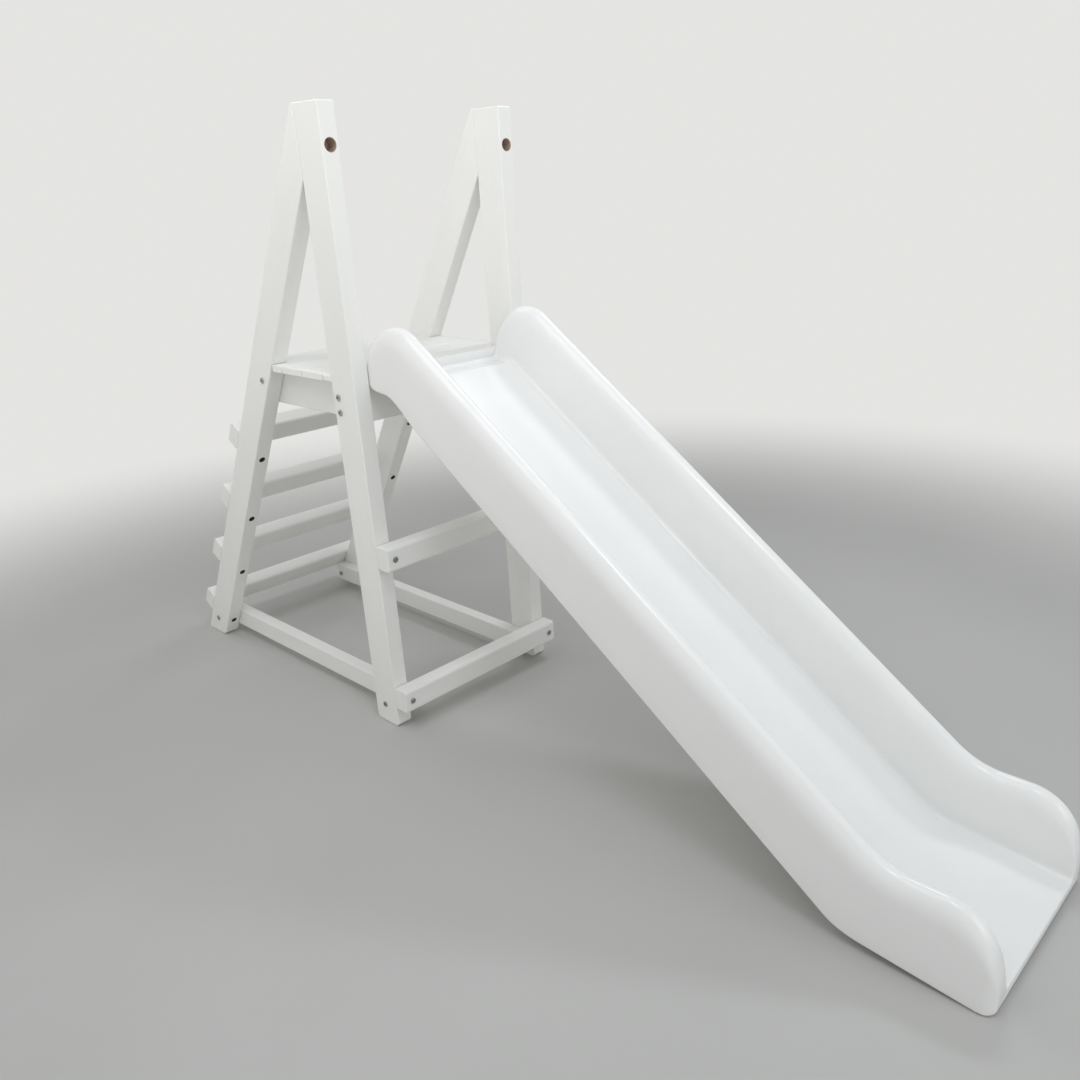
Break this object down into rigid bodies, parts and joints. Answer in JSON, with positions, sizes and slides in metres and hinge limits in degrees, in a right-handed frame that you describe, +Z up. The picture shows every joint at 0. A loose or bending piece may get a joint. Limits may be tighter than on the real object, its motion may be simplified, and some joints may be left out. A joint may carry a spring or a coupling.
{
  "type": "toddler slide",
  "caption": "Freestanding toddler slide: painted timber A-frame with ladder rungs and slatted platform, and a moulded plastic chute with high rounded side walls.",
  "frame": {"origin": "on the floor at the middle of the whole object's outline", "axes": "+X runs from the ladder's feet to the chute's exit, +Y to the left of a child who looks down the chute, +Z up"},
  "size_m": [2.4978, 0.5428, 1.46],
  "materials": {
    "painted_timber": "white satin paint over planed softwood, edges rounded over",
    "chute_plastic": "white moulded polyethylene, softly glossy",
    "steel_fastener": "zinc-plated steel"
  },
  "bodies": {
    "root": {"left_bottom_bolt_front": "steel_fastener", "left_bottom_bolt_rear": "steel_fastener", "left_bottom_nut_front": "steel_fastener", "left_bottom_nut_rear": "steel_fastener", "left_bottom_rail": "painted_timber", "left_chute_bolt": "steel_fastener", "left_chute_nut": "steel_fastener", "left_front_post": "painted_timber", "left_low_rail_bolt": "steel_fastener", "left_mid_rail_bolt": "steel_fastener", "left_platform_bolt_lower": "steel_fastener", "left_platform_bolt_rear": "steel_fastener", "left_platform_bolt_upper": "steel_fastener", "left_platform_nut_lower": "steel_fastener", "left_platform_nut_rear": "steel_fastener", "left_platform_nut_upper": "steel_fastener", "left_platform_rail": "painted_timber", "left_rear_leg": "painted_timber", "left_rung_screw_1": "steel_fastener", "left_rung_screw_2": "steel_fastener", "left_rung_screw_3": "steel_fastener", "left_rung_screw_4": "steel_fastener", "left_top_bolt": "steel_fastener", "low_front_rail": "painted_timber", "mid_front_rail": "painted_timber", "platform_apron": "painted_timber", "platform_slat_1": "painted_timber", "platform_slat_2": "painted_timber", "platform_slat_3": "painted_timber", "platform_slat_4": "painted_timber", "platform_slat_5": "painted_timber", "right_bottom_bolt_front": "steel_fastener", "right_bottom_bolt_rear": "steel_fastener", "right_bottom_nut_front": "steel_fastener", "right_bottom_nut_rear": "steel_fastener", "right_bottom_rail": "painted_timber", "right_chute_bolt": "steel_fastener", "right_chute_nut": "steel_fastener", "right_front_post": "painted_timber", "right_low_rail_bolt": "steel_fastener", "right_mid_rail_bolt": "steel_fastener", "right_platform_bolt_lower": "steel_fastener", "right_platform_bolt_rear": "steel_fastener", "right_platform_bolt_upper": "steel_fastener", "right_platform_nut_lower": "steel_fastener", "right_platform_nut_rear": "steel_fastener", "right_platform_nut_upper": "steel_fastener", "right_platform_rail": "painted_timber", "right_rear_leg": "painted_timber", "right_rung_screw_1": "steel_fastener", "right_rung_screw_2": "steel_fastener", "right_rung_screw_3": "steel_fastener", "right_rung_screw_4": "steel_fastener", "right_top_bolt": "steel_fastener", "rung_1": "painted_timber", "rung_2": "painted_timber", "rung_3": "painted_timber", "rung_4": "painted_timber", "slide_chute": "chute_plastic"}
  },
  "joints": []
}
